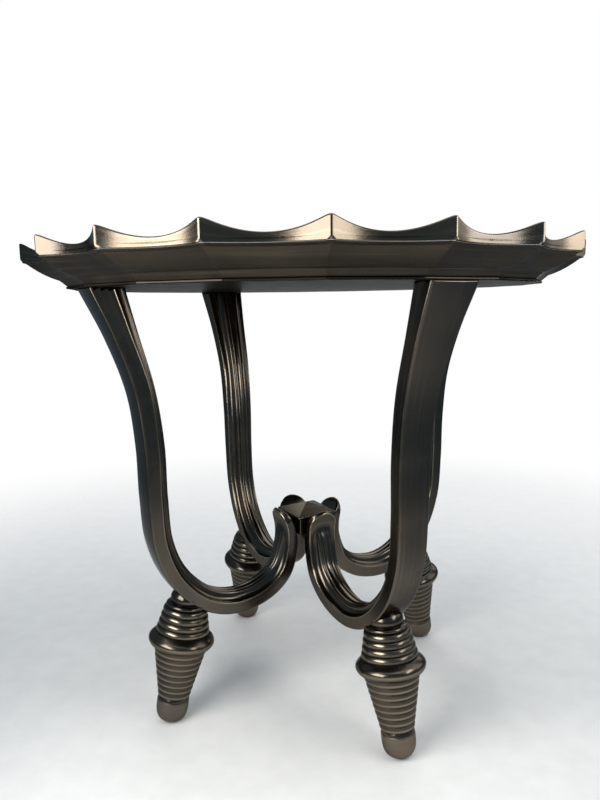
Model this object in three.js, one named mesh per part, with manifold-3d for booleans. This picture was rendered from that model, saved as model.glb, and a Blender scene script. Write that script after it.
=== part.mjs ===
// Brass tray table: a scalloped metal tray on four S-shaped cast legs, which curl in under the tray
// to a small square hub and stand on ringed, splayed feet.
// Millimetres, +Z up, origin on the floor under the middle of the tray. A rim point lies on each of
// +X and -Y, and the legs stand on the diagonals. "Front" is -Y and "right" is +X.

import * as THREE from 'three';
import { mergeVertices } from 'three/addons/utils/BufferGeometryUtils.js';
import Module from 'manifold-3d';

const wasm = await Module();
wasm.setup();

// ---------------------------------------------------------------- driving dimensions

const HEIGHT = 604;                // floor to the tips of the rim points
const GAP = 0.3;                   // clearance between neighbouring pieces

const SCALLOPS = 20;               // hollows round the rim, with a point between each two
const SCALLOP_STEPS = 5;           // facets along one hollow
const RIM_POINT_RADIUS = 349;      // axis to the tip of a rim point
const RIM_HOLLOW = 13;             // how deep a hollow is cut in from the line between its points
const RIM_WALL = 3;                // thickness of the rim band
const RIM_DIP = 11.9;              // how far the band's top edge sinks in the middle of a hollow
const BAND_BOTTOM = 583.5;         // height where the band stands on the pan

const PLATE_RADIUS = 301.4;        // corner radius of the flat plate under the tray
const PLATE_HOLLOW = 2;            // how far its twenty sides bend in
const PLATE_BOTTOM = 552.6;
const PLATE_THICKNESS = 3;
const PAN_FLOOR = 3.6;             // thickness of the tray's floor
const PAN_INSET = 0.8;             // the plate's edge stands proud of the pan by this much

const LEG_ANGLES = { front_right: -45, back_right: 45, back_left: 135, front_left: -135 };
const LEG_TOP = PLATE_BOTTOM - GAP;

// The leg's outer face, from the tray down round the bow and up to the tip beside the hub.
// Each row: distance from the axis, height, depth of the flat side face, half of the width,
// and how far the reeded inner face swells past the side face's edge.
const LEG_ROWS = [
  [299, 577, 28, 33, 25],
  [288, 551, 26, 31, 20],
  [262, 493, 19.5, 26, 14],
  [241, 428, 18.5, 22.5, 10.5],
  [233, 362, 17.5, 21.6, 12],
  [231.5, 294, 17, 20.8, 12.5],
  [226, 235, 16.5, 20.5, 12.5],
  [205, 184, 16, 20.5, 12.5],
  [165, 144, 15.5, 21, 12.5],
  [119, 129, 16, 21, 12],
  [69, 138.5, 16.5, 21, 11],
  [38, 164, 16.5, 20.8, 10],
  [26.6, 202, 15.5, 20.5, 8],
  [28, 226, 15, 20.3, 6],
  [33.5, 240, 15, 20.3, 4],
  [41, 250, 14, 18, 2],
  [47, 255.5, 9, 9, 1],
];
const LEG_STATIONS = 30;

// The section's inner face from the middle outwards: how far across (of the half width) and how
// high (of the swell). A broad middle reed, a groove, a narrow reed, then a cove down to the edge.
const REED_HALF = [[0, 1.04], [0.24, 0.92], [0.34, 0.76], [0.55, 0.82], [0.72, 0.3]];
const OUTER_CROWN = 1.2;           // the plain outer face is this much proud in the middle

const FOOT_LEAN = 10.5 * Math.PI / 180;   // the feet splay outwards, going down
const FOOT_RADIUS = 210.6;         // axis of the table to the point where a foot's axis meets the floor
const FOOT_FACETS = 12;
const GLIDE_TOP = 29;              // the domed glide ends here, measured up the foot's own axis
const FLANGE_RADIUS = 42.2;
const FLANGE_HEIGHT = 108;
const LOWER_RINGS = 8;
const LOWER_RING_START = 33.5;
const UPPER_RINGS = 4;
const UPPER_RING_START = 118;
const RING_PITCH = 8.2;
const NECK_RADIUS = 20.6;
const NECK_HEIGHT = 162;           // middle of the ball under the leg
const FOOT_STUD_RADIUS = 4;
const FOOT_STUD = [132, 175];      // its two ends along the foot's axis

const HUB_CAP_EDGE = 243.8;        // height of the pyramid's lower edge
const HUB_CAP_HALF = 30.1;         // half of its side
const HUB_CAP_RISE = 11;
const HUB_CAP_LIP = 2;             // upright edge below the slopes
const HUB_BOX_HALF = 25.6;
const HUB_BOX_HEIGHT = 24;
const HUB_WALL = 4;
const HUB_BOLT_HEIGHT = 230;
const HUB_BOLT_RADIUS = 3;
const CAP_SCREW_RADIUS = 2.5;

const PLATE_SCREW_RADIUS = 3;      // two per leg, through the plate into the leg's head
const PLATE_SCREW_AT = [[270, -14], [270, 14]];

// ---------------------------------------------------------------- finishes

const antique = { color: 0x4a4334, roughness: 0.34, metalness: 1 };
const antiqueRim = { color: 0x655c49, roughness: 0.3, metalness: 1 };
const antiqueDark = { color: 0x35312a, roughness: 0.42, metalness: 1 };
const steel = { color: 0x8d9094, roughness: 0.4, metalness: 1 };

// ---------------------------------------------------------------- helpers

const group = new THREE.Group();
group.name = 'brass_tray_table';

function addNode(name, geometry, finish) {
  const material = new THREE.MeshStandardMaterial(finish);
  material.name = name;
  const mesh = new THREE.Mesh(geometry, material);
  mesh.name = name;
  group.add(mesh);
}

function signedVolume(positions, index) {
  const [a, b, c] = [new THREE.Vector3(), new THREE.Vector3(), new THREE.Vector3()];
  let sum = 0;
  for (let i = 0; i < index.length; i += 3) {
    a.fromArray(positions, index[i] * 3);
    b.fromArray(positions, index[i + 1] * 3);
    c.fromArray(positions, index[i + 2] * 3);
    sum += a.dot(b.cross(c));
  }
  return sum;
}

// A closed solid from rings with equal numbers of points. The two end rings are capped by a fan,
// or joined to each other when the rings close on themselves.
function ringSolid(rings, closed = false) {
  const count = rings[0].length;
  const positions = rings.flat().flatMap((p) => [p.x, p.y, p.z]);
  const index = [];
  const spans = closed ? rings.length : rings.length - 1;
  for (let i = 0; i < spans; i += 1) {
    const next = (i + 1) % rings.length;
    for (let j = 0; j < count; j += 1) {
      const k = (j + 1) % count;
      index.push(i * count + j, i * count + k, next * count + k);
      index.push(i * count + j, next * count + k, next * count + j);
    }
  }
  if (!closed) {
    capRing(rings, 0, positions, index, true);
    capRing(rings, rings.length - 1, positions, index, false);
  }
  if (signedVolume(positions, index) < 0) {
    index.reverse();
  }
  const geometry = new THREE.BufferGeometry();
  geometry.setAttribute('position', new THREE.Float32BufferAttribute(positions, 3));
  geometry.setIndex(index);
  return geometry;
}

function capRing(rings, which, positions, index, first) {
  const ring = rings[which];
  const middle = new THREE.Vector3();
  ring.forEach((p) => middle.add(p));
  middle.divideScalar(ring.length);
  const centre = positions.length / 3;
  positions.push(middle.x, middle.y, middle.z);
  for (let j = 0; j < ring.length; j += 1) {
    const a = which * ring.length + j;
    const b = which * ring.length + (j + 1) % ring.length;
    index.push(...(first ? [b, a, centre] : [a, b, centre]));
  }
}

function circle(radius, height, facets) {
  return Array.from({ length: facets }, (_, j) => {
    const angle = 2 * Math.PI * j / facets;
    return new THREE.Vector3(radius * Math.cos(angle), radius * Math.sin(angle), height);
  });
}

// A turned solid about +Z from [radius, height] pairs, flat at both ends.
function turned(profile, facets) {
  return ringSolid(profile.map(([radius, height]) => circle(radius, height, facets)));
}

function toSolid(geometry) {
  const plain = geometry.clone();
  plain.deleteAttribute('normal');
  plain.deleteAttribute('uv');
  const merged = mergeVertices(plain, 1e-4);
  return new wasm.Manifold(new wasm.Mesh({
    numProp: 3,
    vertProperties: Float32Array.from(merged.attributes.position.array),
    triVerts: Uint32Array.from(merged.index.array),
  }));
}

function toGeometry(solid) {
  const mesh = solid.getMesh();
  const geometry = new THREE.BufferGeometry();
  geometry.setAttribute('position', new THREE.Float32BufferAttribute(mesh.vertProperties, 3));
  geometry.setIndex(Array.from(mesh.triVerts));
  return geometry;
}

function cut(geometry, ...tools) {
  return toGeometry(tools.reduce((solid, tool) => solid.subtract(toSolid(tool)), toSolid(geometry)));
}

// Overlapping solids joined into one.
function together(geometries) {
  return toGeometry(geometries.map(toSolid).reduce((sum, solid) => sum.add(solid)));
}

function box(width, depth, height, x, y, z) {
  return new THREE.BoxGeometry(width, depth, height).translate(x, y, z);
}

function turnAboutZ(geometry, degrees) {
  return geometry.clone().rotateZ(THREE.MathUtils.degToRad(degrees));
}

const legAngles = Object.values(LEG_ANGLES);

// ---------------------------------------------------------------- tray

// Points round an outline of twenty shallow arcs, each bulging towards the axis. `inset` moves
// every arc inwards and keeps its centre, so the outline stays parallel to itself.
function scallopedOutline(pointRadius, hollow, inset) {
  const step = Math.PI / SCALLOPS;
  const halfChord = pointRadius * Math.sin(step);
  const arcRadius = (halfChord ** 2 + hollow ** 2) / (2 * hollow);
  const centre = pointRadius * Math.cos(step) - hollow + arcRadius;
  const reach = arcRadius + inset;
  const along = centre * Math.cos(step);
  const corner = along - Math.sqrt(along ** 2 - centre ** 2 + reach ** 2);
  const halfAngle = Math.atan2(corner * Math.sin(step), centre - corner * Math.cos(step));
  const outline = [];
  for (let s = 0; s < SCALLOPS; s += 1) {
    const turn = 2 * step * (s + 0.5);
    for (let k = 0; k < SCALLOP_STEPS; k += 1) {
      const u = 2 * k / SCALLOP_STEPS - 1;
      const x = centre - reach * Math.cos(halfAngle * u);
      const y = reach * Math.sin(halfAngle * u);
      const point = new THREE.Vector2(x, y).rotateAround(new THREE.Vector2(), turn);
      outline.push({ x: point.x, y: point.y, u });
    }
  }
  return outline;
}

function atHeight(outline, height) {
  return outline.map((p) => new THREE.Vector3(p.x, p.y, typeof height === 'function' ? height(p.u) : height));
}

// Rings from one outline up to another along a cove: steep at the foot, nearly flat at the rim.
function coveRings(low, high, from, to, parts) {
  return parts.map((t) => low.map((p, j) => new THREE.Vector3(
    THREE.MathUtils.lerp(p.x, high[j].x, t),
    THREE.MathUtils.lerp(p.y, high[j].y, t),
    from + (to - from) * (1.55 * t - 0.55 * t * t),
  )));
}

const rimOuter = scallopedOutline(RIM_POINT_RADIUS, RIM_HOLLOW, 0);
const rimInner = scallopedOutline(RIM_POINT_RADIUS, RIM_HOLLOW, RIM_WALL);
const plateOutline = scallopedOutline(PLATE_RADIUS, PLATE_HOLLOW, 0);
const panBottom = PLATE_BOTTOM + PLATE_THICKNESS + GAP;
const panEdge = BAND_BOTTOM - GAP;
const trayFloor = panBottom + PAN_FLOOR;

const basePlate = ringSolid([
  atHeight(plateOutline, PLATE_BOTTOM),
  atHeight(plateOutline, PLATE_BOTTOM + PLATE_THICKNESS),
]);

const pan = ringSolid([
  ...coveRings(scallopedOutline(PLATE_RADIUS, PLATE_HOLLOW, PAN_INSET), rimOuter, panBottom, panEdge,
    [0, 0.3, 0.62, 1]),
  ...coveRings(scallopedOutline(PLATE_RADIUS, PLATE_HOLLOW, 4), rimInner, trayFloor, panEdge,
    [1, 0.45, 0]),
]);

const bandTop = (u) => HEIGHT - RIM_DIP * (1 - u * u);
const band = ringSolid([
  atHeight(rimOuter, BAND_BOTTOM),
  atHeight(rimOuter, bandTop),
  atHeight(rimInner, bandTop),
  atHeight(rimInner, BAND_BOTTOM),
], true);

// Screws that hold the plate down on the legs, their heads sunk into the plate under the pan.
function plateScrew(angle, [radius, across], clearance) {
  const shank = PLATE_SCREW_RADIUS + clearance;
  const head = 2 * PLATE_SCREW_RADIUS + clearance;
  const top = PLATE_BOTTOM + PLATE_THICKNESS + (clearance ? 1 : -0.1);
  const screw = turned([
    [shank, LEG_TOP - 18 - clearance],
    [shank, PLATE_BOTTOM + 0.6],
    [head, top - (clearance ? 1 : 0)],
    [head, top],
  ].slice(0, clearance ? 4 : 3), 10);
  return turnAboutZ(screw.translate(radius, across, 0), angle);
}

const plateScrewBores = legAngles.flatMap(
  (angle) => PLATE_SCREW_AT.map((at) => plateScrew(angle, at, GAP)));

addNode('base_plate', cut(basePlate, ...plateScrewBores), antique);
addNode('tray_pan', pan, antique);
addNode('rim_band', band, antiqueRim);
for (const [place, angle] of Object.entries(LEG_ANGLES)) {
  PLATE_SCREW_AT.forEach((at, i) => {
    addNode(`plate_screw_${place}_${i + 1}`, plateScrew(angle, at, 0), steel);
  });
}

// ---------------------------------------------------------------- legs

// One leg standing along +X. `clearance` swells its outer face, for fitting a foot against it.
function legSolid(clearance) {
  const curve = new THREE.CatmullRomCurve3(
    LEG_ROWS.map(([radius, height]) => new THREE.Vector3(radius, 0, height)), false, 'centripetal');
  const values = LEG_ROWS.map((row) => row.slice(2));
  const rings = [];
  for (let i = 0; i <= LEG_STATIONS; i += 1) {
    const t = i / LEG_STATIONS;
    const place = t * (LEG_ROWS.length - 1);
    const row = Math.min(Math.floor(place), LEG_ROWS.length - 2);
    const [depth, half, swell] = values[row].map(
      (value, k) => THREE.MathUtils.lerp(value, values[row + 1][k], place - row));
    const point = curve.getPoint(t);
    const tangent = curve.getTangent(t);
    const inward = new THREE.Vector3(tangent.z, 0, -tangent.x);
    rings.push(legSection(half, depth, swell, clearance).map(([across, deep]) => new THREE.Vector3(
      point.x + inward.x * deep, across, point.z + inward.z * deep)));
  }
  return ringSolid(rings);
}

// The section as [across, depth] pairs: plain crowned outer face, flat sides, reeded inner face.
function legSection(half, depth, swell, clearance) {
  const outer = [-1, -0.5, 0, 0.5, 1].map((s) => [
    s * (half + clearance), -OUTER_CROWN * (half / 20) * (1 - s * s) - clearance]);
  const left = REED_HALF.slice(1).map(([s, high]) => [s * half, depth + high * swell]).reverse();
  const right = REED_HALF.map(([s, high]) => [-s * half, depth + high * swell]);
  return [...outer, [half + clearance, depth], ...left, ...right, [-half - clearance, depth]];
}

// Things laid out along a foot's own axis are built upright at the origin and then leaned into place.
function placeFoot(geometry, angle) {
  return turnAboutZ(geometry.clone().rotateY(-FOOT_LEAN).translate(FOOT_RADIUS, 0, 0), angle);
}

const footStud = (clearance) => turned([
  [FOOT_STUD_RADIUS + clearance, FOOT_STUD[0] - clearance],
  [FOOT_STUD_RADIUS + clearance, FOOT_STUD[1] + clearance],
], 12);

const hubBolt = (clearance) => {
  const inside = HUB_BOX_HALF - HUB_WALL;
  const head = turned([[5, inside - 4], [5, inside - GAP + 0.01]], 6);
  const shank = turned([
    [HUB_BOLT_RADIUS + clearance, inside - GAP],
    [HUB_BOLT_RADIUS + clearance, inside + 16 + clearance],
  ], 10);
  const bolt = clearance ? shank : together([head, shank]);
  return bolt.rotateY(Math.PI / 2).translate(0, 0, HUB_BOLT_HEIGHT);
};

const aboveTray = box(200, 200, 100, 290, 0, LEG_TOP + 50);
const rawLeg = cut(legSolid(0), aboveTray);
const swollenLeg = legSolid(GAP);

for (const [place, angle] of Object.entries(LEG_ANGLES)) {
  const bores = [
    placeFoot(footStud(GAP), angle),
    turnAboutZ(hubBolt(GAP), angle),
    ...PLATE_SCREW_AT.map((at) => plateScrew(angle, at, GAP)),
  ];
  addNode(`leg_${place}`, cut(turnAboutZ(rawLeg, angle), ...bores), antique);
}

// ---------------------------------------------------------------- feet

// A stack of rounded rings between two radii: a groove and a crest for each.
function ringed(start, rings, fromRadius, toRadius) {
  const profile = [];
  for (let i = 0; i < rings; i += 1) {
    const radius = (k) => THREE.MathUtils.lerp(fromRadius, toRadius, (i + k) / rings);
    profile.push([radius(0) - 1, start + i * RING_PITCH]);
    profile.push([radius(0.5) + 1, start + (i + 0.5) * RING_PITCH]);
  }
  return profile;
}

const upperRingEnd = UPPER_RING_START + UPPER_RINGS * RING_PITCH;
const footProfile = [
  [20.3, GLIDE_TOP + GAP],
  [19.2, GLIDE_TOP + 3],
  ...ringed(LOWER_RING_START, LOWER_RINGS, 19.8, 33.5),
  [33.5, FLANGE_HEIGHT - 8.5],
  [38.5, FLANGE_HEIGHT - 7],
  [FLANGE_RADIUS - 0.7, FLANGE_HEIGHT - 3.5],
  [FLANGE_RADIUS, FLANGE_HEIGHT],
  [FLANGE_RADIUS - 1.2, FLANGE_HEIGHT + 4],
  [37.5, FLANGE_HEIGHT + 7.5],
  ...ringed(UPPER_RING_START, UPPER_RINGS, 34, 26.5),
  [24, upperRingEnd],
  [25, upperRingEnd + 2.5],
  [20, upperRingEnd + 5.5],
  [NECK_RADIUS, NECK_HEIGHT - 2],
  [NECK_RADIUS - 1.2, NECK_HEIGHT + 4],
  [14, NECK_HEIGHT + 13],
];

const glideProfile = [
  [7, -0.9],
  [11.5, 2],
  [16.2, 8],
  [19, 15],
  [20.4, 23],
  [20.3, GLIDE_TOP],
];

// The dome under a leaning foot is worn to a level flat where it meets the floor.
function restOnFloor(geometry) {
  const position = geometry.attributes.position;
  for (let i = 0; i < position.count; i += 1) {
    position.setZ(i, Math.max(position.getZ(i), 0));
  }
  return geometry;
}

for (const [place, angle] of Object.entries(LEG_ANGLES)) {
  const foot = placeFoot(turned(footProfile, FOOT_FACETS), angle);
  const fitted = cut(foot, turnAboutZ(swollenLeg, angle), placeFoot(footStud(GAP), angle));
  addNode(`foot_${place}`, fitted, antique);
  addNode(`glide_${place}`, restOnFloor(placeFoot(turned(glideProfile, FOOT_FACETS), angle)), antiqueRim);
  addNode(`foot_stud_${place}`, placeFoot(footStud(0), angle), steel);
}

// ---------------------------------------------------------------- hub

function square(half, height) {
  return circle(half * Math.SQRT2, height, 4).map(
    (p) => p.applyAxisAngle(new THREE.Vector3(0, 0, 1), Math.PI / 4));
}

// The four sides of the hub face the legs, so its square is turned by an eighth.
const hubTurn = 45;
const boxTop = HUB_CAP_EDGE - GAP;
const boxBottom = boxTop - HUB_BOX_HEIGHT;
const hubHollow = ringSolid([
  square(HUB_BOX_HALF - HUB_WALL, boxBottom + HUB_WALL),
  square(HUB_BOX_HALF - HUB_WALL, boxTop + 5),
]);
const hubBody = ringSolid([square(HUB_BOX_HALF, boxBottom), square(HUB_BOX_HALF, boxTop)]);
const capScrewBore = turned([
  [CAP_SCREW_RADIUS + GAP, boxBottom - 5],
  [CAP_SCREW_RADIUS + GAP, boxTop + 4],
], 10);
const capScrew = together([
  turned([[5, boxBottom - 3.2], [5, boxBottom - GAP]], 12),
  turned([[CAP_SCREW_RADIUS, boxBottom - GAP - 0.1], [CAP_SCREW_RADIUS, boxTop + 3]], 10),
]);
const capPyramid = ringSolid([
  square(HUB_CAP_HALF, HUB_CAP_EDGE),
  square(HUB_CAP_HALF, HUB_CAP_EDGE + HUB_CAP_LIP),
  square(0.6, HUB_CAP_EDGE + HUB_CAP_LIP + HUB_CAP_RISE),
]);
const capPost = turned([[7, boxBottom + HUB_WALL + GAP], [7, HUB_CAP_EDGE + 1]], 12);
const swollenLegs = legAngles.map((angle) => turnAboutZ(swollenLeg, angle - hubTurn));

addNode('hub_box', turnAboutZ(
  cut(hubBody, hubHollow, capScrewBore, ...[0, 90, 180, 270].map((angle) => turnAboutZ(hubBolt(GAP), angle))),
  hubTurn), antiqueDark);
addNode('hub_cap', turnAboutZ(
  cut(together([capPyramid, capPost]), capScrewBore, ...swollenLegs), hubTurn), antique);
addNode('hub_cap_screw', capScrew, steel);
for (const [place, angle] of Object.entries(LEG_ANGLES)) {
  addNode(`hub_bolt_${place}`, turnAboutZ(hubBolt(0), angle), steel);
}

export default group;
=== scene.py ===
"""The look of a brass tray table: a scalloped tray on four reeded cast legs with turned feet.

Shapes are drawn in millimetres, as in the part's own drawing, and their meshes made in metres.
The materials, the light and the camera are in metres.
"""

import math

import bmesh
import bpy
import numpy as np
from mathutils import Matrix, Vector


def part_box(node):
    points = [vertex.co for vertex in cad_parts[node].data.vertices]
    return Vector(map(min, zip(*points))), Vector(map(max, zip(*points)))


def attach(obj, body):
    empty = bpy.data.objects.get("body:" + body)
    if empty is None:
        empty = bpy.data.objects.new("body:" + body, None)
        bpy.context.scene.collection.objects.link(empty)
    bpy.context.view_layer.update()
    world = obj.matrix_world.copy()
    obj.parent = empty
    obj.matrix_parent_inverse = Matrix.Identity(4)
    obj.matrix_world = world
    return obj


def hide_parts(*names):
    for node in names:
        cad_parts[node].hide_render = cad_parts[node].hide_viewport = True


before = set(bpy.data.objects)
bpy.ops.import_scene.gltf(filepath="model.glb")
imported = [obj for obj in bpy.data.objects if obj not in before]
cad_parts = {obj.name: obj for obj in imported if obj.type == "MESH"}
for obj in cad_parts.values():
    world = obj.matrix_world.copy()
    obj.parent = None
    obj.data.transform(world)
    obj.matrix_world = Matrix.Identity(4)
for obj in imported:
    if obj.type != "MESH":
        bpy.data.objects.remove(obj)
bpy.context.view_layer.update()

MM = 0.001
GAP = 0.3                  # clearance between pieces that are fastened together
SHARP_ANGLE = math.radians(40)
WELD, SLIVER = 1e-6, 1e-7  # metres within which points are welded, and edges dissolved

# ---------------------------------------------------------------- dimensions

plate_low, plate_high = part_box("base_plate")
rim_low, rim_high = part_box("rim_band")
pan_low, pan_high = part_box("tray_pan")

HEIGHT = rim_high.z / MM
BAND_BOTTOM = rim_low.z / MM
PAN_BOTTOM = pan_low.z / MM
PAN_EDGE = pan_high.z / MM
PLATE_BOTTOM = plate_low.z / MM
PLATE_TOP = plate_high.z / MM

SCALLOPS = 20
ARC_STEPS = 34
ARC_CROWDING = 0.55        # how far the steps of a hollow crowd towards its ends, from 0 to 1
STRIP_STEPS = (0.12, 0.35, 0.65, 0.88)
STRIP_BOW = 0.12           # swell of the flat strip across a point, as a share of its half width

RIM_POINT_RADIUS = 349
RIM_POINT_LOST = 1.0       # how far beyond the blunt points the hollows' arcs would meet
RIM_HOLLOW = 13
RIM_WALL = 3
RIM_FACE = 0.35            # how far the wall's outer face lies inside the arcs
RIM_TOP_ROUND = 1.35
RIM_DIP = 11.9
RIM_BLUNT = 1.2            # half of the width of the flat strip down each rim point
RIM_PEAK_ROUND = 0.085     # how far the peak's rounding reaches, as a share of half a hollow
RIM_UNDERCUT = 1.6         # how far, and how high up, the lower end of each point is rounded under
RIM_UNDERCUT_RISE = 4

PLATE_RADIUS = 301.4
PLATE_HOLLOW = 2
PLATE_BLUNT = 0.6
PLATE_ROUND = 0.44         # the rounding of the plate's edge, as a share of its thickness

PAN_FLOOR = 3.6            # thickness of the tray's floor
PAN_INSET = 0.8
PAN_FLOOR_INSET = 6        # how far inside the plate's edge the flat floor ends
PAN_LIP = 0.9              # height of the rounded lip under the rim
PAN_LIP_ROUND = 0.45
COVE_START = 1.55          # how much steeper than its chord the cove starts from the plate

LEG_ANGLES = {"front_right": -45, "back_right": 45, "back_left": 135, "front_left": -135}
LEG_TOP = PLATE_BOTTOM - GAP

# Along the leg's outer face from the tray to the tip: distance from the axis, height, depth of the
# side face, half of the width, and swell of the reeded inner face.
LEG_ROWS = (
    (299, 577, 28, 33, 25),
    (288, 551, 26, 31, 20),
    (262, 493, 19.5, 26, 14),
    (241, 428, 18.5, 22.5, 10.5),
    (233, 362, 17.5, 21.6, 12),
    (231.5, 294, 17, 20.8, 12.5),
    (226, 235, 16.5, 20.5, 12.5),
    (205, 184, 16, 20.5, 12.5),
    (165, 144, 15.5, 21, 12.5),
    (119, 129, 16, 21, 12),
    (69, 138.5, 16.5, 21, 11),
    (38, 164, 16.5, 20.8, 10),
    (26.6, 202, 15.5, 20.5, 8),
    (28, 226, 13.5, 20.3, 6),
    (33.5, 240, 11, 20.3, 4.5),
    (41, 250, 7.5, 20.3, 2.5),
    (47, 255.5, 4.5, 20.3, 1.5),
)
LEG_STEP = 4.0
TIP_RADIUS = 20.3
TIP_STEPS = 22
OUTER_CROWN = 1.2
OUTER_ARRIS = 2.4
INNER_ARRIS = 0.9
REED_SPAN = 20.8           # the half width and swell that the reeds below are drawn for
REED_SWELL = 12.5
REED_END = 14              # distance from the tip at which the reeds fade out into a scoop
REED_FULL = 46             # distance from the tip from which the reeds are full
SCOOP = 1.3

FOOT_LEAN = math.radians(10.5)
FOOT_RADIUS = 210.6
FOOT_SEGMENTS = 96
GLIDE_TOP = 29
GLIDE_RADIUS = 20.5
GLIDE_SHOULDER = 23        # height at which the dome's sides become straight
GLIDE_SUNK = 0.6           # how much of the dome's end is worn flat
GLIDE_BLUNT = 0.68
RING_PITCH = 8.2
BEAD_STEPS = 12

HUB_TURN = 45
HUB_CAP_HALF = 30.1
HUB_CAP_EDGE = 243.8
HUB_CAP_LIP = 2
HUB_CAP_RISE = 11
HUB_BOX_HALF = 25.6
HUB_BOX_HEIGHT = 24

# ---------------------------------------------------------------- mesh helpers


def smoothstep(low, high, x):
    t = np.clip((np.asarray(x, float) - low) / (high - low), 0, 1)
    return t * t * (3 - 2 * t)


def finish_piece(obj, material, slot, *replaced):
    """Gives a piece its material and hides the CAD nodes that it stands for; `slot` is not used."""
    obj.data.materials.clear()
    obj.data.materials.append(material)
    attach(obj, "root")
    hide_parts(*replaced)


def smooth_object(name, mesh):
    """A linked object whose faces are smooth, apart from sharp edges."""
    for polygon in mesh.polygons:
        polygon.use_smooth = True
    mesh.set_sharp_from_angle(angle=SHARP_ANGLE)
    obj = bpy.data.objects.new(name, mesh)
    bpy.context.scene.collection.objects.link(obj)
    return obj


def mesh_object(name, vertices, faces, uvs, wear_and_shading):
    """An object from points in millimetres, with its grain as UVs and its wear as an attribute."""
    mesh = bpy.data.meshes.new(name)
    mesh.from_pydata((np.asarray(vertices) * MM).tolist(), [], faces)
    layer = mesh.uv_layers.new(name="grain")
    layer.data.foreach_set("uv", (np.asarray(uvs, float) * MM).ravel())
    attribute = mesh.attributes.new("wear_and_shading", "FLOAT", "POINT")
    attribute.data.foreach_set("value", np.asarray(wear_and_shading, np.float32))
    mesh.validate()
    bm = bmesh.new()
    bm.from_mesh(mesh)
    bmesh.ops.remove_doubles(bm, verts=bm.verts, dist=WELD)
    bmesh.ops.dissolve_degenerate(bm, edges=bm.edges, dist=SLIVER)
    bmesh.ops.recalc_face_normals(bm, faces=bm.faces)
    bm.to_mesh(mesh)
    bm.free()
    return smooth_object(name, mesh)


def loft(name, rings, wear_and_shading, along=False, closed=False, caps=(True, True)):
    """A solid through rings of equal numbers of points. The grain runs round them, or along."""
    rings = np.asarray(rings, float)
    rows, columns = rings.shape[:2]
    wear_and_shading = np.broadcast_to(np.asarray(wear_and_shading, float), (rows, columns)).ravel().tolist()
    wrapped = np.concatenate([rings, rings[:, :1]], axis=1)
    stacked = np.concatenate([rings, rings[:1]], axis=0)
    across = np.linalg.norm(np.diff(wrapped, axis=1), axis=2).mean(0)
    down = np.linalg.norm(np.diff(stacked, axis=0), axis=2).mean(1)
    round_at = np.concatenate([[0], np.cumsum(across)])
    down_at = np.concatenate([[0], np.cumsum(down)])
    points = rings.reshape(-1, 3).tolist()
    faces, uvs = [], []

    def uv(i, j):
        return (down_at[i], round_at[j]) if along else (round_at[j], down_at[i])

    for i in range(rows if closed else rows - 1):
        below, above = i * columns, ((i + 1) % rows) * columns
        for j in range(columns):
            k = (j + 1) % columns
            faces.append((below + j, below + k, above + k, above + j))
            uvs += [uv(i, j), uv(i, j + 1), uv(i + 1, j + 1), uv(i + 1, j)]
    for which, wanted in ((0, caps[0]), (rows - 1, caps[1])):
        if closed or not wanted:
            continue
        middle = rings[which].mean(0)
        points.append(middle.tolist())
        wear_and_shading.append(0)
        for j in range(columns):
            k = (j + 1) % columns
            corners = (which * columns + j, which * columns + k, len(points) - 1)
            faces.append(corners)
            uvs += [tuple(points[c][:2]) for c in corners]
    return mesh_object(name, points, faces, uvs, wear_and_shading)


def bevelled(name, points, faces, width, turn):
    """A faceted solid with rounded edges, worn along them."""
    bm = bmesh.new()
    corners = [bm.verts.new(Vector(p) * MM) for p in points]
    for face in faces:
        bm.faces.new([corners[i] for i in face])
    bmesh.ops.recalc_face_normals(bm, faces=bm.faces)
    bmesh.ops.bevel(
        bm, geom=list(bm.edges), offset=width * MM, segments=3, profile=0.5, affect="EDGES"
    )
    turned = Matrix.Rotation(math.radians(turn), 3, "Z")
    bmesh.ops.rotate(bm, verts=bm.verts, matrix=turned)
    grain = bm.loops.layers.uv.new("grain")
    wear_and_shading = bm.verts.layers.float.new("wear_and_shading")
    for vertex in bm.verts:
        vertex[wear_and_shading] = 0.75
    for face in bm.faces:
        for loop in face.loops:
            x, y, z = loop.vert.co
            loop[grain].uv = (x + y, z + 0.7 * (x - y))
    flats = [face for face in bm.faces if face.calc_area() > (4 * width * MM) ** 2]
    bmesh.ops.inset_individual(bm, faces=flats, thickness=0.5 * MM, depth=0)
    for face in flats:
        for vertex in face.verts:
            vertex[wear_and_shading] = 0
    mesh = bpy.data.meshes.new(name)
    bm.to_mesh(mesh)
    bm.free()
    return smooth_object(name, mesh)


def turned_about_z(points, degrees):
    """Points turned about the table's axis, anticlockwise as seen from above."""
    c, s = math.cos(math.radians(degrees)), math.sin(math.radians(degrees))
    points = np.asarray(points, float)
    x, y = points[..., 0] * c - points[..., 1] * s, points[..., 0] * s + points[..., 1] * c
    return np.stack([x, y, points[..., 2]], axis=-1)


# ---------------------------------------------------------------- tray outline


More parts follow.
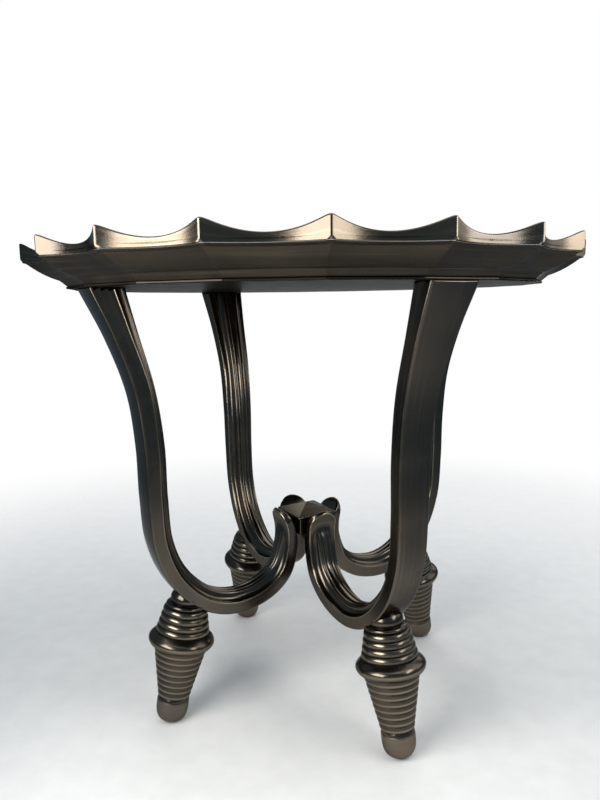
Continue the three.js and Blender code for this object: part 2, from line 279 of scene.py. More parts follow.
def scalloped(point_radius, hollow, inset, blunt):
    """The outline of twenty shallow arcs with a narrow flat strip across each point.

    Returns its points, and for each how near it is to a point of the rim: 1 on it, 0 in the middle
    of a hollow.
    """
    step = math.pi / SCALLOPS
    half_chord = point_radius * math.sin(step)
    arc_radius = (half_chord**2 + hollow**2) / (2 * hollow)
    centre = point_radius * math.cos(step) - hollow + arc_radius
    reach = arc_radius + inset
    along = centre * math.cos(step)
    corner = along - math.sqrt(along**2 - centre**2 + reach**2)
    half_angle = math.atan2(corner * math.sin(step), centre - corner * math.cos(step))
    blunt_angle = math.pi / 2 - half_angle + step
    last = 1 - blunt / (math.sin(blunt_angle) * half_angle * reach)
    even = np.linspace(-1, 1, ARC_STEPS)
    crowded = np.sin(even * math.pi / 2)
    shares = (ARC_CROWDING * crowded + (1 - ARC_CROWDING) * even) * last
    arc_x = centre - reach * np.cos(half_angle * shares)
    arc_y = reach * np.sin(half_angle * shares)
    points, nearness = [], []
    for s in range(SCALLOPS):
        turn = 2 * step * (s + 0.5)
        c, d = math.cos(turn), math.sin(turn)
        arc = np.column_stack([arc_x * c - arc_y * d, arc_x * d + arc_y * c])
        point_turn = 2 * step * (s + 1)
        axis = np.array([math.cos(point_turn), math.sin(point_turn)])
        end = arc[-1]
        strip = 2 * (axis * (end @ axis) - end)
        bow = axis * STRIP_BOW * blunt
        points += [*arc, *(end + strip * t + bow * (1 - abs(2 * t - 1) ** 3) for t in STRIP_STEPS)]
        nearness += [*abs(shares), *(1.0 for _ in STRIP_STEPS)]
    return np.array(points), np.array(nearness)


def at_height(outline, height):
    """A ring of points at one height, or at a height for each."""
    heights = np.broadcast_to(np.asarray(height, float), (len(outline),))
    return np.column_stack([outline, heights])


def rim_arcs(inset):
    return scalloped(
        RIM_POINT_RADIUS + RIM_POINT_LOST, RIM_HOLLOW + RIM_POINT_LOST, inset, RIM_BLUNT
    )


def rim_outline(inset):
    return rim_arcs(inset)[0]


nearness = rim_arcs(0)[1]
on_point = smoothstep(0.955, 0.985, nearness)
by_point = smoothstep(0.93, 0.985, nearness)[:, None]


def softened_rim(inset, drawn_in):
    """The rim's outline, drawn in further at its points, whose lower ends are rounded under."""
    return rim_outline(inset) * (1 - by_point) + rim_outline(inset + drawn_in) * by_point


def plate_outline(inset):
    return scalloped(PLATE_RADIUS, PLATE_HOLLOW, inset, PLATE_BLUNT)[0]


# ---------------------------------------------------------------- materials

DARK_METAL = (0.076, 0.067, 0.059)
BROWN_METAL = (0.118, 0.094, 0.072)
GREEN_METAL = (0.092, 0.084, 0.066)
RUBBED_METAL = (0.2, 0.172, 0.128)
# pale brass for rubbed edges, and also for painted highlights
WORN_AND_HIGHLIGHT_METAL = (0.36, 0.305, 0.215)
# near black painted into grooves, creases and joints: grime and dark joints, and painted shade
GRIME_AND_SHADE = (0.030, 0.030, 0.030)


class Graph:
    """Builds a node tree a node at a time. Inputs are constants or other nodes' sockets."""

    def __init__(self, name):
        self.material = bpy.data.materials.new(name)
        self.material.use_nodes = True
        self.tree = self.material.node_tree
        self.shader = self.tree.nodes["Principled BSDF"]

    def wire(self, socket, value):
        if isinstance(value, bpy.types.NodeSocket):
            self.tree.links.new(value, socket)
        else:
            socket.default_value = value

    def add(self, kind, inputs=None, **settings):
        node = self.tree.nodes.new(kind)
        for key, value in settings.items():
            setattr(node, key, value)
        for key, value in (inputs or {}).items():
            self.wire(node.inputs[key], value)
        return node

    def math(self, operation, a, b):
        return self.add("ShaderNodeMath", {0: a, 1: b}, operation=operation).outputs[0]

    def mix(self, factor, a, b):
        node = self.tree.nodes.new("ShaderNodeMix")
        node.data_type = "RGBA"
        sockets = [s for s in node.inputs if s.enabled]
        for socket, value in zip((sockets[0], sockets[-2], sockets[-1]), (factor, a, b)):
            if isinstance(value, tuple):
                value = (*value, 1)
            self.wire(socket, value)
        return [s for s in node.outputs if s.enabled][0]

    def ramp(self, value, low, high, to_low=0.0, to_high=1.0):
        node = self.add(
            "ShaderNodeMapRange",
            {
                "Value": value,
                "From Min": low,
                "From Max": high,
                "To Min": to_low,
                "To Max": to_high,
            },
            interpolation_type="SMOOTHSTEP",
        )
        return node.outputs["Result"]

    def noise(self, vector, scale, detail=3.0, roughness=0.55):
        node = self.add(
            "ShaderNodeTexNoise",
            {"Vector": vector, "Scale": scale, "Detail": detail, "Roughness": roughness},
        )
        return node.outputs[0]

    def stretched(self, vector, along, across):
        node = self.add("ShaderNodeMapping", {"Vector": vector, "Scale": (along, across, 1)})
        return node.outputs[0]


def antique_brass(name, tint, rough, brush, wear_gain, streak=0.25, grazing=0.6):
    """Cast brass under a dark brown patina: brushed along its grain, rubbed bright on its edges.

    `tint` scales the patina's colours and `rough` is the range of its roughness. `brush` is the
    depth of the brushing, `wear_gain` and `streak` are the strength of the bright edges and of
    the paler streaks, and `grazing` is how bright the metal turns at a glance. The bright edges
    are rubbed brass, and on the low band of each lower foot ring a painted reflection of the
    floor. Grooves, creases and joints are painted near black: grime and dark joints, and painted
    shade.
    """
    g = Graph(name)
    place = g.add("ShaderNodeTexCoord").outputs["Object"]
    grain = g.add("ShaderNodeUVMap", uv_map="grain").outputs[0]
    wear_and_shading = g.add("ShaderNodeAttribute", attribute_name="wear_and_shading").outputs["Fac"]
    cloud = g.noise(place, 7.0, 3.0, 0.55)
    mottle = g.noise(place, 38.0, 4.0, 0.6)
    speck = g.noise(place, 420.0, 2.0, 0.6)
    lines = g.noise(g.stretched(grain, 9.0, 1500.0), 1.0, 2.0, 0.6)
    bands = g.noise(g.stretched(grain, 5.0, 240.0), 1.0, 3.0, 0.55)
    dark, brown, green, rubbed = (
        tuple(part * tint for part in colour)
        for colour in (DARK_METAL, BROWN_METAL, GREEN_METAL, RUBBED_METAL)
    )

    colour = g.mix(g.ramp(cloud, 0.35, 0.65), dark, brown)
    colour = g.mix(g.ramp(mottle, 0.42, 0.72, 0.0, 0.55), colour, green)
    colour = g.mix(g.math("MULTIPLY", g.ramp(bands, 0.5, 0.75), streak), colour, rubbed)
    # points marked below 0 (grooves, creases, joints) are painted near black and made rougher:
    # grime and dark joints, and painted shade
    grime_and_shade_mask = g.math("MULTIPLY", g.ramp(wear_and_shading, 0.0, -1.0), g.ramp(mottle, 0.2, 0.8, 0.55, 1.0))
    colour = g.mix(grime_and_shade_mask, colour, GRIME_AND_SHADE)
    # points marked high are painted pale: rubbed brass, and on the lower foot rings a painted
    # reflection of the floor
    rubbed_and_highlight_mask = g.math("MULTIPLY", g.ramp(wear_and_shading, 0.25, 0.9), g.ramp(mottle, 0.3, 0.65, 0.7, 1.0))
    colour = g.mix(g.math("MULTIPLY", rubbed_and_highlight_mask, wear_gain), colour, WORN_AND_HIGHLIGHT_METAL)

    uneven = g.math("ADD", g.math("MULTIPLY", mottle, 0.6), g.math("MULTIPLY", bands, 0.4))
    roughness = g.ramp(uneven, 0.3, 0.7, *rough)
    roughness = g.math("ADD", roughness, g.math("MULTIPLY", grime_and_shade_mask, 0.25))

    height = g.math("ADD", g.math("MULTIPLY", lines, 0.6), g.math("MULTIPLY", bands, 0.4))
    height = g.math("ADD", height, g.math("MULTIPLY", speck, 0.04))
    bump = g.add("ShaderNodeBump", {"Height": height, "Strength": brush, "Distance": 0.0006})

    g.wire(g.shader.inputs["Base Color"], colour)
    g.wire(g.shader.inputs["Roughness"], roughness)
    g.wire(g.shader.inputs["Normal"], bump.outputs[0])
    g.shader.inputs["Metallic"].default_value = 1.0
    g.shader.inputs["Specular Tint"].default_value = (grazing, grazing, grazing, 1)
    return g.material


def zinc_steel(name):
    """Dull zinc-plated steel, for the fasteners."""
    g = Graph(name)
    place = g.add("ShaderNodeTexCoord").outputs["Object"]
    mottle = g.noise(place, 160.0, 4.0, 0.6)
    fine = g.noise(place, 900.0, 2.0, 0.5)
    colour = g.mix(g.ramp(mottle, 0.3, 0.7), (0.30, 0.30, 0.29), (0.46, 0.46, 0.45))
    g.wire(g.shader.inputs["Base Color"], colour)
    g.wire(g.shader.inputs["Roughness"], g.ramp(mottle, 0.3, 0.7, 0.32, 0.5))
    bump = g.add("ShaderNodeBump", {"Height": fine, "Strength": 0.2, "Distance": 0.0004})
    g.wire(g.shader.inputs["Normal"], bump.outputs[0])
    g.shader.inputs["Metallic"].default_value = 1.0
    return g.material


# the tray is painted darker than the other brass: painted shade, for the shadowed floor its
# underside reflects
pan_metal_painted_shade = antique_brass(
    "pan_brass_painted_shade", tint=0.56, rough=(0.38, 0.48), brush=0.22, wear_gain=0.5, streak=0.6
)
rim_metal = antique_brass(
    "rim_brass", tint=1.1, rough=(0.16, 0.26), brush=0.2, wear_gain=0.7, streak=0.45
)
# the plate under the tray is painted darker still: painted shade on its underside
plate_metal_painted_shade = antique_brass(
    "plate_brass_painted_shade",
    tint=0.33,
    rough=(0.36, 0.46),
    brush=0.05,
    wear_gain=0.3,
    streak=0.5,
    grazing=0.3,
)
leg_metal = antique_brass(
    "leg_brass", tint=1.0, rough=(0.15, 0.23), brush=0.03, wear_gain=0.75, streak=0.3
)
foot_metal = antique_brass(
    "foot_brass", tint=0.92, rough=(0.18, 0.26), brush=0.03, wear_gain=0.75, streak=0.2
)
# the glide is painted paler than the foot: painted light, for the floor's reflection under it
glide_metal_painted_light = antique_brass(
    "glide_brass_painted_light", tint=1.5, rough=(0.36, 0.46), brush=0.06, wear_gain=0.5
)
# the hub cap is painted paler than the legs: painted light
hub_metal_painted_light = antique_brass("hub_brass", tint=1.35, rough=(0.25, 0.33), brush=0.05, wear_gain=0.7)
# the block under the cap is painted darker: painted shade between the arms
hub_painted_shade = antique_brass("hub_box_brass_painted_shade", tint=0.5, rough=(0.3, 0.4), brush=0.1, wear_gain=0.4)
steel = zinc_steel("zinc_steel")

# ---------------------------------------------------------------- tray


class Rings:
    """Rings for a loft, each marked: 1 rubbed bright, 0 plain, -1 grime, dark joints and painted
    shade.
    """

    def __init__(self):
        self.points, self.wear_and_shading = [], []

    def put(self, outline, height, worn=0.0):
        self.points.append(at_height(outline, height))
        self.wear_and_shading.append(np.broadcast_to(np.asarray(worn, float), (len(outline),)))

    def loft(self, name, closed=False):
        return loft(name, self.points, np.array(self.wear_and_shading), closed=closed)


def quarter_turn(count):
    return np.linspace(0, math.pi / 2, count)


def make_base_plate():
    """The disc under the tray, from the middle of its underside out and over its rounded edge."""
    edge = PLATE_ROUND * (PLATE_TOP - PLATE_BOTTOM)
    rings = Rings()
    for inset in (200, 60):
        rings.put(plate_outline(0) * (1 - inset / PLATE_RADIUS), PLATE_BOTTOM)
    rings.put(plate_outline(3.2), PLATE_BOTTOM)
    # the rounded edge is painted slightly darker: painted shade, dimming its highlight
    for a in quarter_turn(6):
        out, up = edge * (1 - math.sin(a)), edge * (1 - math.cos(a))
        rings.put(plate_outline(out), PLATE_BOTTOM + up, -0.2)
    for a in quarter_turn(6):
        out, down = edge * (1 - math.cos(a)), edge * (1 - math.sin(a))
        rings.put(plate_outline(out), PLATE_TOP - down, -0.2)
    rings.put(plate_outline(3), PLATE_TOP)
    finish_piece(rings.loft("plate"), plate_metal_painted_shade, "tray_brass", "base_plate")


def make_pan():
    """The dished tray: up the cove under it, over a lip, and down the inside to its flat floor."""
    rings = Rings()
    low, high = plate_outline(PAN_INSET), softened_rim(0.55, RIM_UNDERCUT)
    lip_bottom = PAN_EDGE - PAN_LIP
    rings.put(plate_outline(4), PAN_BOTTOM)
    rings.put(low, PAN_BOTTOM, -0.6)
    for share in np.linspace(0.0, 0.985, 30)[1:]:
        rise = COVE_START * share - (COVE_START - 1) * share * share
        height = PAN_BOTTOM + (lip_bottom - PAN_BOTTOM) * rise
        rings.put(low + (high - low) * share, height, 0.35 * on_point * share)
    for a in quarter_turn(4):
        outline = softened_rim(0.6 + PAN_LIP_ROUND * (1 - math.cos(a)), RIM_UNDERCUT)
        rings.put(outline, lip_bottom + PAN_LIP * math.sin(a), -0.4)
    rings.put(rim_outline(RIM_WALL), PAN_EDGE)

    floor = PAN_BOTTOM + PAN_FLOOR
    low, high = plate_outline(PAN_FLOOR_INSET), rim_outline(RIM_WALL + 0.2)
    for share in np.linspace(1, 0, 16)[1:]:
        rise = 0.25 * share + 0.75 * share * share
        rings.put(low + (high - low) * share, floor + (PAN_EDGE - floor) * rise)
    away = np.hypot(*low.T)[:, None]
    circle = low / away * away.mean()
    for share in (0.97, 0.92, 0.86, 0.8, 0.65, 0.5, 0.35, 0.2, 0.04):
        roundness = smoothstep(0.97, 0.8, share)
        rings.put((low * (1 - roundness) + circle * roundness) * share, floor)
    finish_piece(rings.loft("pan"), pan_metal_painted_shade, "tray_brass", "tray_pan")


def band_top():
    """The rim's height round its outline: rounded peaks at the points, a dip between each two."""
    away = 1 - nearness
    soft = RIM_PEAK_ROUND
    away = (np.sqrt(away**2 + soft**2) - soft) / (math.sqrt(1 + soft**2) - soft)
    return HEIGHT - RIM_DIP * (2 * away - away * away)


def make_rim():
    """The upright wall: up its outer face, over its top and down its inner face."""
    rings = Rings()
    top = band_top()
    upright = top - RIM_TOP_ROUND - BAND_BOTTOM
    rings.put(softened_rim(RIM_FACE + 0.3, RIM_UNDERCUT), BAND_BOTTOM, -0.5)
    for rise in np.linspace(0.3, RIM_UNDERCUT_RISE, 8):
        left = 1 - rise / RIM_UNDERCUT_RISE
        outline = softened_rim(RIM_FACE, RIM_UNDERCUT * left**2)
        rings.put(outline, BAND_BOTTOM + rise, 0.2 * left + 0.4 * on_point)
    for share in (0.3, 0.5, 0.7, 0.86, 0.95):
        rings.put(rim_outline(RIM_FACE), BAND_BOTTOM + upright * share, 0.45 * on_point)
    for a in quarter_turn(6):
        inset, down = RIM_TOP_ROUND * (1 - math.cos(a)), RIM_TOP_ROUND * (1 - math.sin(a))
        rings.put(rim_outline(RIM_FACE + inset), top - down, 0.3 + 0.25 * on_point)
    for a in quarter_turn(6)[::-1]:
        inset, down = RIM_TOP_ROUND * (1 - math.cos(a)), RIM_TOP_ROUND * (1 - math.sin(a))
        rings.put(rim_outline(RIM_WALL - inset), top - down, 0.35)
    for share in (0.8, 0.5, 0.2):
        rings.put(rim_outline(RIM_WALL), BAND_BOTTOM + upright * share)
    rings.put(rim_outline(RIM_WALL), BAND_BOTTOM, -0.4)
    finish_piece(rings.loft("rim", closed=True), rim_metal, "rim_brass", "rim_band")


# ---------------------------------------------------------------- legs


def spline(rows, parts):
    """A centripetal curve through the rows, with every column carried along it."""
    rows = np.asarray(rows, float)
    rows = np.vstack([2 * rows[0] - rows[1], rows, 2 * rows[-1] - rows[-2]])
    gaps = np.sqrt(np.linalg.norm(np.diff(rows[:, :2], axis=0), axis=1))
    found = []
    for i in range(1, len(rows) - 2):
        a, b, c, d = rows[i - 1 : i + 3]
        ab, bc, cd = gaps[i - 1 : i + 2]
        first = ((b - a) / ab - (c - a) / (ab + bc) + (c - b) / bc) * bc
        second = ((c - b) / bc - (d - b) / (bc + cd) + (d - c) / cd) * bc
        squared = 3 * (c - b) - 2 * first - second
        cubed = 2 * (b - c) + first + second
        for t in np.linspace(0, 1, parts, endpoint=False):
            found.append(b + first * t + squared * t**2 + cubed * t**3)
    found.append(rows[-2])
    return np.array(found)


leg_line = spline(LEG_ROWS, 24)
leg_steps = np.linalg.norm(np.diff(leg_line[:, :2], axis=0), axis=1)
leg_length_at = np.concatenate([[0], np.cumsum(leg_steps)])
leg_length = leg_length_at[-1]
leg_tangent = np.gradient(leg_line[:, :2], leg_length_at, axis=0)
leg_tangent /= np.linalg.norm(leg_tangent, axis=1)[:, None]


def leg_values(s):
    """Radius, height, depth, half width, swell and the inward direction, s down the leg."""
    columns = [np.interp(s, leg_length_at, leg_line[:, k]) for k in range(5)]
    along = [np.interp(s, leg_length_at, leg_tangent[:, k]) for k in range(2)]
    size = np.hypot(*along)
    return (*columns, along[1] / size, -along[0] / size)


def half_section():
    """Columns of half a section, from the middle of the outer face round to that of the inner one.

    Each is a face, a place on it, a lift and its wear. On the outer face the place is a share of
    the half width, on an arris an angle, and on the side a share of its depth. On the inner face
    it is a distance from the middle, and the lift is how far the column stands proud of that face.
    """
    columns = [("outer", x, 0, 0.0) for x in (0, 0.2, 0.4, 0.6, 0.8, 0.94)]
    columns += [("outer_arris", a, 0, 0.35) for a in quarter_turn(7)]
    columns += [("side", x, 0, 0.0) for x in (0.08, 0.35, 0.65, 0.92)]
    columns += [("inner_arris", a, 0, 1.0) for a in quarter_turn(4)]
    # columns below 0 in grooves and hollows are painted dark: grime and painted shade; arrises and
    # reed crests above 0 are rubbed bright
    # a hollow that rises from beside the arris
    columns += [("inner", 19.0, -0.15, 0.2), ("inner", 18.4, -0.1, -0.4)]
    for a in quarter_turn(9)[::-1]:
        worn = -0.3 if a > 0.9 else 0.0
        columns.append(("inner", 18.2 - 7.0 * math.cos(a), 8.6 - 8.5 * math.sin(a), worn))
    # a fillet and a groove, then the side reed
    columns += [("inner", 11.0, 9.0, 0.5), ("inner", 10.7, 8.5, -0.7), ("inner", 10.3, 8.5, -1.0)]
    for a in np.linspace(0.12, 0.92, 8):
        lift = 9.0 + 1.5 * a + 1.5 * math.sin(math.pi * a) ** 0.8
        columns.append(("inner", 10.1 - 4.7 * a, lift, 0.5 if 0.3 < a < 0.8 else 0.0))
    # a groove, then half of the middle reed
    columns += [("inner", 5.3, 10.4, -0.8), ("inner", 4.9, 10.3, -1.0), ("inner", 4.6, 10.8, -0.4)]
    for x in (4.2, 3.7, 3.0, 2.2, 1.3, 0.0):
        columns.append(("inner", x, 12.6 - (x / 4.4) ** 2 * 1.4, 0.42 if x < 3.1 else 0.0))
    return columns


half_columns = half_section()
SECTION = [(1, *column) for column in half_columns]
SECTION += [(-1, *column) for column in half_columns[-2:0:-1]]


def across_leg(face, where, half):
    """How far a column lies from the middle of a leg whose half width is `half`."""
    if face == "outer":
        return where * (half - OUTER_ARRIS)
    if face == "outer_arris":
        return half - OUTER_ARRIS * (1 - math.sin(where))
    if face == "side":
        return half
    if face == "inner_arris":
        return half - INNER_ARRIS * (1 - math.cos(where))
    return where * half / REED_SPAN


def into_leg(face, where, lift, share, half, depth, reeded):
    """How far a column lies behind the edge of the outer face, towards the inner one."""
    arris = min(OUTER_ARRIS, depth * 0.3)
    crown = -OUTER_CROWN * half / 20 * (1 - share * share)
    if face == "outer":
        return crown
    if face == "outer_arris":
        return crown + arris * (1 - math.cos(where))
    if face == "side":
        return arris + (depth - INNER_ARRIS - arris) * where
    if face == "inner_arris":
        return depth - INNER_ARRIS * (1 - math.sin(where))
    return depth + lift * reeded - SCOOP * (1 - share**2.5) * (1 - reeded)


def leg_ring(s_middle, sweep):
    """One ring of a leg. `sweep` is a quarter turn on the plain length, and 0 at the tip's end."""
    ring, wear_and_shading = [], []
    straight = sweep >= math.pi / 2
    half = float(leg_values(s_middle)[3]) if straight else TIP_RADIUS
    for side, face, where, lift, worn in SECTION:
        reach = across_leg(face, where, half)
        s, across = s_middle, reach
        if not straight:
            s = leg_length - TIP_RADIUS + reach * math.cos(sweep)
            across = reach * math.sin(sweep)
        radius, height, depth, _, swell, in_x, in_z = (float(v) for v in leg_values(s))
        reeded = float(smoothstep(REED_END, REED_FULL, leg_length - s))
        lift = lift * swell / REED_SWELL
        deep = into_leg(face, where, lift, reach / half, half, depth, reeded)
        ring.append((radius + in_x * deep, side * across, height + in_z * deep))
        wear_and_shading.append(worn * reeded if face == "inner" else worn)
    return ring, wear_and_shading


def cut_flat_top(obj, height):
    """Cuts off what stands above a height, and closes the cut."""
    bm = bmesh.new()
    bm.from_mesh(obj.data)
    everything = list(bm.verts) + list(bm.edges) + list(bm.faces)
    bmesh.ops.bisect_plane(
        bm, geom=everything, plane_co=(0, 0, height), plane_no=(0, 0, 1), clear_outer=True
    )
    bmesh.ops.holes_fill(bm, edges=[edge for edge in bm.edges if edge.is_boundary])
    bm.to_mesh(obj.data)
    bm.free()


leg_stations = [(s, math.pi) for s in np.arange(0, leg_length - TIP_RADIUS, LEG_STEP)]
leg_stations += [(leg_length - TIP_RADIUS, math.pi / 2)]
leg_stations += [(leg_length, a) for a in np.linspace(math.pi / 2, 0, TIP_STEPS)[1:]]
leg_rings, leg_wear_and_shading = zip(*(leg_ring(s, a) for s, a in leg_stations))
leg_rings, leg_wear_and_shading = np.array(leg_rings), np.array(leg_wear_and_shading)


def make_leg(place, angle):
    """One leg, cut off level where it meets the base plate."""
    rings = turned_about_z(leg_rings, angle)
    piece = loft(f"leg_{place}.cast", rings, leg_wear_and_shading, along=True, caps=(True, False))
    cut_flat_top(piece, LEG_TOP * MM)
    finish_piece(piece, leg_metal, "leg_brass", f"leg_{place}")


# ---------------------------------------------------------------- feet


def beads(start, count, from_radius, to_radius, bulge, belly=0.5, between=-0.3):
    """A stack of rounded rings on a sloping line, with a sharp groove between each two.

    `belly` is how far up each ring its widest part is, and a pale band is painted round it: rubbed
    brass at a crest, and a painted reflection of the floor where it sits low. The groove under each
    ring is painted near black as painted shade, and `between` is how dark the rest of each ring is
    painted, also painted shade.
    """
    low, high = np.array([from_radius, start]), np.array([to_radius, start + count * RING_PITCH])
    line = (high - low) / count
    out = np.array([line[1], -line[0]]) / np.linalg.norm(line)
    profile = []
    for i in range(count):
        for t in np.linspace(0, 1, BEAD_STEPS, endpoint=False):
            swollen = t ** (math.log(0.5) / math.log(belly))
            point = low + line * (i + t) + out * bulge * math.sin(math.pi * swollen) ** 0.62
            # each ring: groove painted near black as painted shade, pale band round the belly,
            # flanks painted darker as painted shade
            worn = -1.0 if t == 0 else (0.6 if abs(t - belly) < 0.17 else between)
            profile.append((*point, worn))
    return profile


def lathe(name, profile, angle):
    """A turned piece that leans outwards, from rows of radius, height and wear, cut flat below."""
    profile = np.asarray(profile, float)
    turn = np.arange(FOOT_SEGMENTS) * 2 * math.pi / FOOT_SEGMENTS
    x = profile[:, :1] * np.cos(turn)
    y = profile[:, :1] * np.sin(turn)
    s = np.repeat(profile[:, 1:2], FOOT_SEGMENTS, axis=1)
    c, d = math.cos(-FOOT_LEAN), math.sin(-FOOT_LEAN)
    placed = np.stack([x * c + s * d + FOOT_RADIUS, y, -x * d + s * c], axis=-1)
    placed[..., 2] = np.maximum(placed[..., 2], 0)
    return loft(name, turned_about_z(placed, angle), profile[:, 2:3])


def foot_profile():
    """Radius, height and wear, from the crease above the glide up to the ball under the leg."""
    # creases marked -1 are painted near black: dark joints and painted shade; crests above 0 are
    # rubbed bright
    neck = [(4, 0.4, 0), (19.4, 0.4, -1), (20.1, 0.7, 0.1), (20.0, 1.6, 0.1), (19.5, 3.0, 0)]
    neck += [(19.0, 4.4, -0.3)]
    flange = [(32.6, 99.8, -1), (34.6, 99.9, 0), (37.2, 100.7, 0), (39.6, 102.3, 0.1)]
    flange += [(41.3, 104.6, 0.4), (42.0, 106.6, 0.6), (42.2, 108.4, 0.5), (41.8, 110.4, 0.3)]
    flange += [(40.7, 112.2, 0.1), (39.1, 113.8, 0), (37.4, 115.2, 0), (35.8, 116.4, 0)]
    flange += [(34.4, 117.4, -0.4)]
    collar = [(24.2, 150.8, -1), (25.0, 151.6, 0.2), (25.6, 152.8, 0.4), (25.6, 154.0, 0.4)]
    collar += [(24.8, 155.2, 0.2), (23.0, 156.2, -0.3)]
    ball = [(20.2, 157.2, -1), (20.4, 158.4, 0), (20.9, 160.0, 0.3), (21.1, 162.0, 0.3)]
    ball += [(20.8, 164.5, 0), (19.8, 167.5, 0), (17.8, 170.5, 0), (14.0, 173.5, 0), (4, 175, 0)]
    return [
        *((radius, GLIDE_TOP + rise, worn) for radius, rise, worn in neck),
        # the lower rings' pale band sits low on each ring: a painted reflection of the floor
        *beads(34.2, 8, 19.5, 33.0, 1.25, belly=0.26, between=-0.5),
        *flange,
        *beads(118, 4, 32.9, 25.8, 1.9),
        *collar,
        *ball,
    ]


def glide_profile():
    """A blunt dome, straight down its sides, below a crease."""
    profile = []
    for a in np.linspace(0.1, 1, 24):
        angle = a * math.pi / 2
        out, down = math.sin(angle) ** GLIDE_BLUNT, math.cos(angle) ** GLIDE_BLUNT
        height = GLIDE_SHOULDER - (GLIDE_SHOULDER + GLIDE_SUNK) * down
        profile.append((GLIDE_RADIUS * out, height, 0.25 if a < 0.5 else 0.0))
    profile += [(GLIDE_RADIUS, 26.5, 0), (20.45, 28.0, 0.2), (20.0, 28.8, 0.1)]
    profile += [(19.2, GLIDE_TOP, -1), (4, GLIDE_TOP, -1)]
    return profile


def make_foot(place, angle):
    foot = lathe(f"foot_{place}.turned", foot_profile(), angle)
    finish_piece(foot, foot_metal, "foot_brass", f"foot_{place}")
    glide = lathe(f"glide_{place}.domed", glide_profile(), angle)
    finish_piece(glide, glide_metal_painted_light, "foot_brass", f"glide_{place}")


# ---------------------------------------------------------------- hub


def square(half, height):
    """The corners of a level square, anticlockwise as seen from above."""
    return [(half * x, half * y, height) for x, y in ((1, 1), (-1, 1), (-1, -1), (1, -1))]


def make_hub():
    """A low pyramid cap on a square block, both set on the diagonals between the axes."""
    sides = [(i, (i + 1) % 4, 4 + (i + 1) % 4, 4 + i) for i in range(4)]
    slopes = [(4 + i, 4 + (i + 1) % 4, 8) for i in range(4)]
    eaves = HUB_CAP_EDGE + HUB_CAP_LIP
    points = square(HUB_CAP_HALF, HUB_CAP_EDGE) + square(HUB_CAP_HALF, eaves)
    points.append((0, 0, eaves + HUB_CAP_RISE))
    cap = bevelled("cap.pyramid", points, [(3, 2, 1, 0), *sides, *slopes], 0.5, HUB_TURN)
    finish_piece(cap, hub_metal_painted_light, "hub_brass", "hub_cap")
    top = HUB_CAP_EDGE - GAP
    points = square(HUB_BOX_HALF, top - HUB_BOX_HEIGHT) + square(HUB_BOX_HALF, top)
    block = bevelled("hub.block", points, [(3, 2, 1, 0), *sides, (4, 5, 6, 7)], 0.8, HUB_TURN)
    finish_piece(block, hub_painted_shade, "hub_brass", "hub_box")


make_base_plate()
make_pan()
make_rim()
for place, angle in LEG_ANGLES.items():
    make_leg(place, angle)
    make_foot(place, angle)
make_hub()

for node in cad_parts.values():
    if not node.hide_render:
        node.data.materials.clear()
        node.data.materials.append(steel)

# ---------------------------------------------------------------- floor, light and camera

CAMERA_AZIMUTH = math.radians(14.25)
CAMERA_DISTANCE = 0.89044
CAMERA_HEIGHT = 0.5319
CAMERA_YAW, CAMERA_PITCH, CAMERA_ROLL = -0.00836, -0.14601, -0.01363
CAMERA_LENS = 29.44
WARM = (1.0, 0.975, 0.93)
ROOM = (0.15, 0.205, 0.25, 1)

# Upright panels: name, near end, far end, lower edge, upper edge and radiance. An end is a place on
# the floor as the camera sees it, to its right and away from it, from the table's middle.
SOFTBOXES = (
    ("softbox_left", (-0.445, -0.98), (-0.51, -0.31), 0.30, 0.80, 9.5),
    ("softbox_right", (0.60, -0.64), (0.50, -0.20), 0.46, 0.80, 7.0),
    ("softbox_side", (0.95, -0.15), (0.95, 0.45), 0.4, 1.3, 1.3),
    ("softbox_back", (-0.6, 1.35), (1.1, 1.0), 0.4, 1.9, 1.6),
)
OVERHEAD_HEIGHT, OVERHEAD_SIZE, OVERHEAD_RADIANCE = 2.4, 2.6, 1.3


def make_camera():
    """A camera in front of the table, a little to its right, looking slightly down."""
    forward = Vector((
        math.sin(CAMERA_YAW) * math.cos(CAMERA_PITCH),
        math.cos(CAMERA_YAW) * math.cos(CAMERA_PITCH),
        math.sin(CAMERA_PITCH),
    ))
    right = Vector((math.cos(CAMERA_YAW), -math.sin(CAMERA_YAW), 0))
    up = right.cross(forward)
    rolled_right = math.cos(CAMERA_ROLL) * right + math.sin(CAMERA_ROLL) * up
    rolled_up = -math.sin(CAMERA_ROLL) * right + math.cos(CAMERA_ROLL) * up
    turn = Matrix.Rotation(CAMERA_AZIMUTH, 4, "Z")
    axes = Matrix((rolled_right, rolled_up, -forward)).transposed().to_4x4()
    camera = bpy.data.objects.new("camera", bpy.data.cameras.new("camera"))
    camera.data.lens = CAMERA_LENS
    camera.matrix_world = turn @ Matrix.Translation((0, -CAMERA_DISTANCE, CAMERA_HEIGHT)) @ axes
    bpy.context.scene.collection.objects.link(camera)
    bpy.context.scene.camera = camera


def area_light(name, width, length, radiance):
    """An area light that gives every point of it the same radiance, and is hidden from view."""
    data = bpy.data.lights.new(name, "AREA")
    data.shape = "RECTANGLE"
    data.size, data.size_y = width, length
    data.energy = radiance * math.pi * width * length
    light = bpy.data.objects.new(name, data)
    light.visible_camera = False
    bpy.context.scene.collection.objects.link(light)
    return light


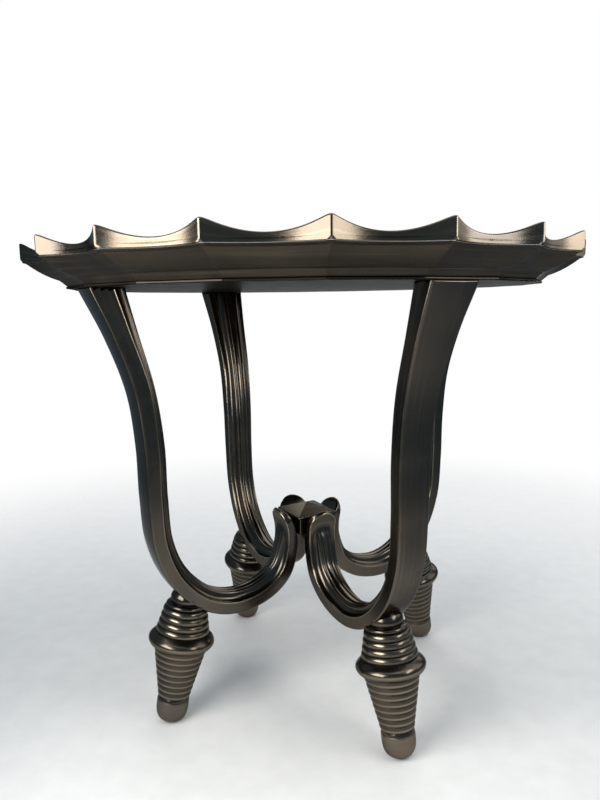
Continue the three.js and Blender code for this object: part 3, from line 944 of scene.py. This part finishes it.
def make_softbox(name, near_end, far_end, low, high, radiance):
    """An upright soft panel that faces the table."""
    turn = Matrix.Rotation(CAMERA_AZIMUTH, 3, "Z")
    first, second = (turn @ Vector((*end, 0)) for end in (near_end, far_end))
    light = area_light(name, (second - first).length, high - low, radiance)
    light.data.color = WARM
    light.location = (first + second) / 2 + Vector((0, 0, (low + high) / 2))
    facing = (second - first).cross(Vector((0, 0, 1)))
    if facing.dot(light.location) > 0:
        facing = -facing
    light.rotation_euler = facing.to_track_quat("-Z", "Y").to_euler()


def make_overhead():
    light = area_light("overhead", OVERHEAD_SIZE, OVERHEAD_SIZE, OVERHEAD_RADIANCE)
    light.location = (0, 0, OVERHEAD_HEIGHT)


def make_floor():
    """A pale disc that fades out into the white room."""
    bm = bmesh.new()
    bmesh.ops.create_circle(bm, cap_ends=True, segments=96, radius=3.2)
    mesh = bpy.data.meshes.new("floor")
    bm.to_mesh(mesh)
    bm.free()
    floor = bpy.data.objects.new("floor", mesh)
    bpy.context.scene.collection.objects.link(floor)
    g = Graph("pale_floor")
    place = g.add("ShaderNodeTexCoord").outputs["Object"]
    away = g.add("ShaderNodeVectorMath", {0: place}, operation="LENGTH").outputs["Value"]
    grain = g.noise(place, 30.0, 4.0, 0.6)
    colour = g.mix(g.ramp(grain, 0.3, 0.7), (0.78, 0.78, 0.775), (0.82, 0.82, 0.815))
    g.wire(g.shader.inputs["Base Color"], colour)
    g.shader.inputs["Roughness"].default_value = 0.9
    g.wire(g.shader.inputs["Alpha"], g.ramp(away, 0.3, 1.5, 1.0, 0.0))
    mesh.materials.append(g.material)


def make_world():
    """A room that is white to the camera, and dim and bluish in the metal."""
    world = bpy.data.worlds.new("studio")
    bpy.context.scene.world = world
    world.use_nodes = True
    tree = world.node_tree
    seen = tree.nodes["Background"]
    seen.inputs["Color"].default_value = (1, 1, 1, 1)
    room = tree.nodes.new("ShaderNodeBackground")
    room.inputs["Color"].default_value = ROOM
    path = tree.nodes.new("ShaderNodeLightPath")
    mix = tree.nodes.new("ShaderNodeMixShader")
    tree.links.new(path.outputs["Is Camera Ray"], mix.inputs[0])
    tree.links.new(room.outputs[0], mix.inputs[1])
    tree.links.new(seen.outputs[0], mix.inputs[2])
    tree.links.new(mix.outputs[0], tree.nodes["World Output"].inputs["Surface"])


make_camera()
make_floor()
make_world()
for softbox in SOFTBOXES:
    make_softbox(*softbox)
make_overhead()
bpy.context.scene.view_settings.view_transform = "Standard"
